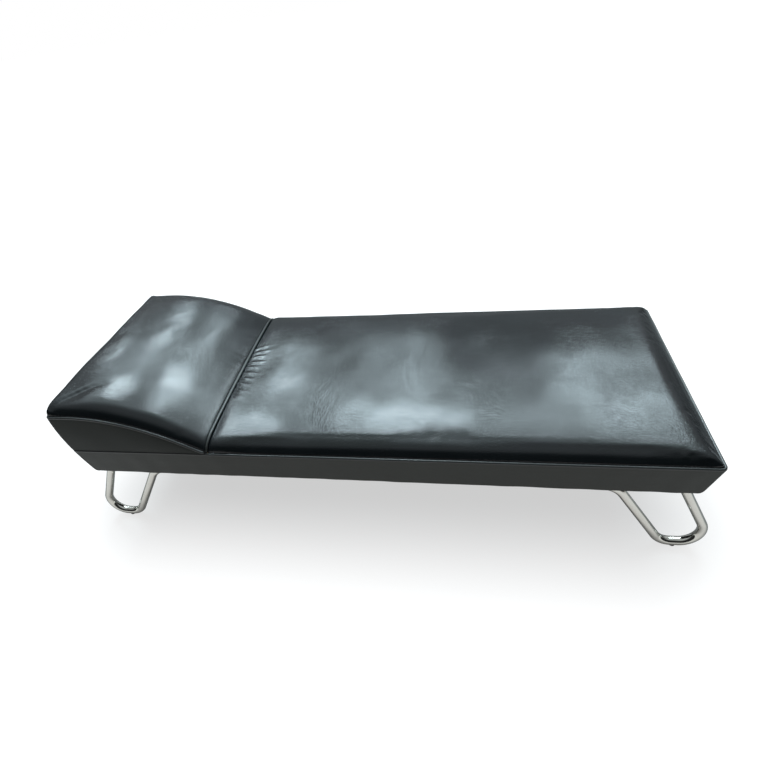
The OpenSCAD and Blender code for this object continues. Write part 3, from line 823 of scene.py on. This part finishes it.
def make_band():
    """The base's four vinyl bands, sewn into one loop, turned under the frame and stapled."""
    spots = band_spots()
    profile = list(zip(*band_profile()))
    outer = np.array([band_ring(*level, spots) for level in profile])
    levels, count = outer.shape[:2]
    normal = outward_normals(outer)
    run = np.cumsum(np.linalg.norm(outer[0] - np.roll(outer[0], 1, axis=0), axis=1))[None, :]
    depth = np.linspace(0, 1, levels)[:, None]
    pull = 0.4 * MM * ripple(run, depth * 0.05, 0.11, 31) + 0.4 * MM * ripple(run, depth * 0.1, 0.5, 32)
    pull = 0.6 * MM + np.maximum(pull, -0.6 * MM)
    on_face = np.clip(depth * 6, 0, 1) * np.clip((0.78 - depth) * 8, 0, 1)
    outer = outer + normal * (pull * on_face)[:, :, None]
    inner = outer - normal * VINYL_T
    surfaces = np.concatenate([outer, inner[::-1]])
    rings = surfaces.transpose(1, 0, 2).reshape(-1, 3)
    faces = ring_faces(count, 2 * levels, closed=True)
    band = new_piece("base_band", rings, faces, BAND_VINYL_PAINTED_LIGHT, sharp=60)
    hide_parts("front_band", "back_band", "head_band", "foot_band")
    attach(band, "root")


def boxing_path(spacing):
    """In plan, from the wedge's front toe round the head end to the back toe."""
    inset = 0.2 * MM
    radius = 5 * MM
    toe_x = WEDGE_L - 9 * MM - HALF_L
    head_x = -HALF_L + inset
    half_y = HALF_W - inset
    corners = [(toe_x, -half_y, 0), (head_x, -half_y, 0), (head_x, half_y, 0), (toe_x, half_y, 0)]
    return resampled(rounded_path(corners, [radius, radius], math.radians(10)), spacing)


def make_boxing():
    """The wedge's upright sides: one strip, puffed a little between its seams."""
    spacing = 5 * MM
    path = boxing_path(spacing)
    tangents = np.gradient(path, axis=0)
    tangents /= np.linalg.norm(tangents, axis=1)[:, None]
    outward = np.cross(np.array([0, 0, 1.0]), tangents)
    outward *= -np.sign((outward * -path).sum(axis=1))[:, None]
    rows = 26
    t = np.linspace(0, 1, rows)
    top = SEAM_Z + wedge_edge(np.clip(path[:, 0] + HALF_L, 0, None), path[:, 1]) - 0.5 * MM
    bottom = SEAM_Z + 1 * MM
    tall = top - bottom
    puff = np.minimum(tall * 0.045, 4 * MM)[:, None] * np.sin(math.pi * t)[None, :] ** 0.8
    run = np.cumsum(np.full(len(path), spacing))[:, None]
    uneven = 0.5 * MM * ripple(run, t[None, :] * 0.1, 0.16, 41)
    puff = np.maximum(puff + uneven * np.sin(math.pi * t)[None, :], 0)
    outer = np.empty((len(path), rows, 3))
    outer[:, :, :2] = path[:, None, :2] + outward[:, None, :2] * puff[:, :, None]
    outer[:, :, 2] = bottom + tall[:, None] * t[None, :]
    inner = outer.copy()
    inner[:, :, :2] -= outward[:, None, :2] * VINYL_T
    shell = np.concatenate([outer, inner[:, ::-1]], axis=1)
    columns = len(path)
    vertices = shell.reshape(-1, 3)
    faces = ring_faces(columns, 2 * rows)
    faces.append(list(range(2 * rows))[::-1])
    faces.append([(columns - 1) * 2 * rows + k for k in range(2 * rows)])
    boxing = new_piece("wedge_boxing", vertices, faces, SIDE_VINYL_PAINTED_SHADE, sharp=60)
    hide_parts("wedge_front_panel", "wedge_back_panel", "wedge_end_panel")
    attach(boxing, "root")


# ---- Legs ----

def leg_plane_matrix():
    """From a leg loop's own plane to the couch, at the head end's front corner."""
    splay = math.atan((FOOT_Y - TOP_Y) / (RUN_Z - FLOOR_BAR_Z))
    height = (RUN_Z - FLOOR_BAR_Z) / math.cos(splay)
    place = Matrix.Translation((FOOT_IN - HALF_L, -TOP_Y, RUN_Z))
    turn = Matrix.Rotation(-TOE, 4, "Z") @ Matrix.Rotation(-splay, 4, "X")
    upright = Matrix.Translation((-FOOT_IN, 0, -height)) @ Matrix.Rotation(math.pi / 2, 4, "X")
    return place @ turn @ upright, height


def leg_path():
    """The middle line of the tube at the head end's front corner."""
    matrix, height = leg_plane_matrix()
    upper_run = [(RUN_END, height, 0), (TOP_IN, height, 0)]
    floor_bar = [(FOOT_IN, 0, 0), (-FOOT_OUT, 0, 0)]
    outer_end = [(TOP_OUT, height, 0)]
    bends = [TOP_BEND, FOOT_BEND, FOOT_BEND]
    flat = rounded_path(upper_run + floor_bar + outer_end, bends, math.radians(4))
    path = np.array([matrix @ Vector(p) for p in flat])
    along = unit(path[-1] - path[-2])
    path[-1] += along * (PLATE_Z + 0.3 * MM - path[-1][2]) / along[2]
    return path


def hollow_tube(path, sides=40):
    """Vertices and faces of a leg's tube with its bore; the upper end is cut level, to sit on its plate."""
    outer = tube_rings(path, TUBE_R, sides)
    inner = tube_rings(path, BORE_R, sides)
    along = unit(path[-1] - path[-2])
    for rings in (outer, inner):
        rings[-1] += along * ((path[-1][2] - rings[-1][:, 2]) / along[2])[:, None]
    count = len(path)
    start = count * sides
    last = start - sides
    faces = ring_faces(count, sides) + ring_faces(count, sides, start=start, flip=True)
    for j in range(sides):
        k = (j + 1) % sides
        faces.append([j, start + j, start + k, k])
        faces.append([last + k, start + last + k, start + last + j, last + j])
    return np.concatenate([outer.reshape(-1, 3), inner.reshape(-1, 3)]), faces


def make_legs():
    path = leg_path()
    for end, mirror_x in (("head", 1), ("foot", -1)):
        for depth, mirror_y in (("front", 1), ("back", -1)):
            vertices, faces = hollow_tube(path * np.array([mirror_x, mirror_y, 1]))
            name = f"leg_{end}_{depth}"
            leg = new_piece(name + "_tube", vertices, faces, CHROME, sharp=50)
            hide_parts(name)
            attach(leg, "root")


# ---- Stage ----

def make_floor():
    """Pale to the camera, with a painted shadow that dims its glow near the couch; in reflections, a painted
    pool of light in front of the couch and painted shade elsewhere.
    """
    size = 30
    n = Nodes("floor")
    shade = n.noise(1.5, 2.0)
    n.link(n.mix(shade, rgba(0.20, 0.20, 0.20), rgba(0.22, 0.22, 0.22)), "Base Color")
    place = n.add("ShaderNodeSeparateXYZ", {0: n.place})
    along = n.math("MAXIMUM", n.math("SUBTRACT", n.math("ABSOLUTE", place.outputs[0], 0.0), 0.75), 0.0)
    across = n.math("MAXIMUM", n.math("SUBTRACT", n.math("ABSOLUTE", place.outputs[1], 0.0), 0.20), 0.0)
    away = n.math("SQRT", n.math("ADD", n.math("POWER", along, 2.0), n.math("POWER", across, 2.0)), 0.0)
    # Painted shadow: the glow the camera sees falls from 1.0 far away to 0.6 at the couch's footprint.
    seen = n.remap(away, 0.0, 0.48, 0.60, 1.0, smooth=True)
    direct = n.add("ShaderNodeLightPath").outputs["Is Camera Ray"]
    forward = n.math("MULTIPLY", place.outputs[1], -1.0)
    # Painted reflection: a glow seen in reflections, bright in front of the couch (painted light) and dim
    # under and behind it (painted shade).
    painted_reflection_glow = n.remap(forward, 0.33, 0.46, 0.06, 0.50, smooth=True)
    n.link(n.math("MAXIMUM", n.math("MULTIPLY", seen, direct), painted_reflection_glow), "Emission Strength")
    n.set(Roughness=1.0, Specular_IOR_Level=0.0, Emission_Color=rgba(1, 1, 1))
    mesh = bpy.data.meshes.new("floor")
    corners = [(-size, -size, 0), (size, -size, 0), (size, size, 0), (-size, size, 0)]
    mesh.from_pydata(corners, [], [[0, 1, 2, 3]])
    mesh.materials.append(n.material)
    floor = bpy.data.objects.new("floor", mesh)
    bpy.context.scene.collection.objects.link(floor)


def make_world():
    """White to the camera, and to everything else a dark room that is lighter overhead and behind."""
    world = bpy.data.worlds.new("studio")
    world.use_nodes = True
    bpy.context.scene.world = world
    tree = world.node_tree
    tree.nodes.clear()
    output = tree.nodes.new("ShaderNodeOutputWorld")
    seen = tree.nodes.new("ShaderNodeBackground")
    room = tree.nodes.new("ShaderNodeBackground")
    seen.inputs[0].default_value = (1, 1, 1, 1)
    room.inputs[0].default_value = (0.9, 0.97, 1, 1)
    place = tree.nodes.new("ShaderNodeTexCoord")
    facing = tree.nodes.new("ShaderNodeVectorMath")
    facing.operation = "DOT_PRODUCT"
    facing.inputs[1].default_value = (0, 0.5, 0.87)
    tree.links.new(place.outputs["Generated"], facing.inputs[0])
    ramp = tree.nodes.new("ShaderNodeMapRange")
    ramp.interpolation_type = "SMOOTHSTEP"
    for socket, value in ((1, 0.2), (2, 0.75), (3, 0.02), (4, 0.50)):
        ramp.inputs[socket].default_value = value
    tree.links.new(facing.outputs["Value"], ramp.inputs[0])
    tree.links.new(ramp.outputs[0], room.inputs[1])
    rays = tree.nodes.new("ShaderNodeLightPath")
    choose = tree.nodes.new("ShaderNodeMixShader")
    tree.links.new(rays.outputs["Is Camera Ray"], choose.inputs[0])
    tree.links.new(room.outputs[0], choose.inputs[1])
    tree.links.new(seen.outputs[0], choose.inputs[2])
    tree.links.new(choose.outputs[0], output.inputs[0])


def softbox(name, place, size, brightness):
    """A flat lamp overhead, facing down."""
    data = bpy.data.lights.new(name, "AREA")
    data.shape = "RECTANGLE"
    data.size, data.size_y = size
    data.energy = brightness * math.pi * size[0] * size[1]
    data.color = LAMP_COLOUR
    light = bpy.data.objects.new(name, data)
    light.location = place
    bpy.context.scene.collection.objects.link(light)


def make_lights():
    """A broad glow that fades towards the front, two rows of lamps under it, and two thin tubes."""
    softbox("glow", (-0.2, 1.9, GLOW_Z), (5.8, 2.1), 2.0)
    step = 0.28
    for k, brightness in enumerate((1.5, 1.1, 0.7, 0.35)):
        softbox(f"glow_edge_{k + 1}", (-0.2, 0.71 - step * k, GLOW_Z), (5.8, step), brightness)
    softbox("front_row_head", (-1.7, 1.22, CEILING), (0.7, 0.35), 20)
    softbox("front_row_near", (-0.27, 0.96, CEILING), (0.4, 0.28), 15)
    softbox("front_row_left", (-0.25, 1.50, CEILING), (1.0, 0.35), 26)
    softbox("front_row_middle", (0.75, 1.6, CEILING), (0.9, 0.28), 9)
    softbox("front_row_foot", (1.65, 1.80, CEILING), (0.5, 0.28), 20)
    softbox("front_row_end", (2.3, 1.56, CEILING), (0.3, 0.25), 18)
    softbox("back_row_head", (-1.66, 2.25, CEILING), (0.45, 0.3), 26)
    softbox("back_row_far", (-1.65, 2.78, CEILING), (0.45, 0.35), 15)
    softbox("back_row_middle", (-0.2, 2.25, CEILING), (0.35, 0.25), 13)
    softbox("back_row_foot", (1.48, 2.40, CEILING), (0.42, 0.28), 24)
    softbox("back_row_end", (2.15, 2.3, CEILING), (0.25, 0.45), 17)
    softbox("corner", (-3.5, 2.7, CEILING), (0.5, 0.5), 14)
    softbox("tube_left", (-0.68, 2.95, CEILING), (0.12, 0.8), 12)
    softbox("tube_right", (-0.24, 2.95, CEILING), (0.12, 1.1), 14)


def make_camera():
    data = bpy.data.cameras.new("camera")
    data.lens = 22.29
    data.sensor_width = 36
    data.shift_x = 0.0184
    data.shift_y = -0.0127
    camera = bpy.data.objects.new("camera", data)
    pitch, yaw, roll = (math.radians(angle) for angle in CAMERA_ANGLES)
    ahead = Vector((-math.sin(yaw) * math.cos(pitch), math.cos(yaw) * math.cos(pitch), -math.sin(pitch)))
    level = ahead.cross(Vector((0, 0, 1))).normalized()
    over = level.cross(ahead)
    right = level * math.cos(roll) + over * math.sin(roll)
    up = over * math.cos(roll) - level * math.sin(roll)
    turn = Matrix((right, up, -ahead)).transposed()
    camera.matrix_world = Matrix.Translation(CAMERA_PLACE) @ turn.to_4x4()
    bpy.context.scene.collection.objects.link(camera)
    bpy.context.scene.camera = camera


bpy.context.scene.view_settings.view_transform = "Standard"
make_camera()
dress_cad_nodes()
make_pads()
make_piping()
make_band()
make_boxing()
make_legs()
make_floor()
make_world()
make_lights()
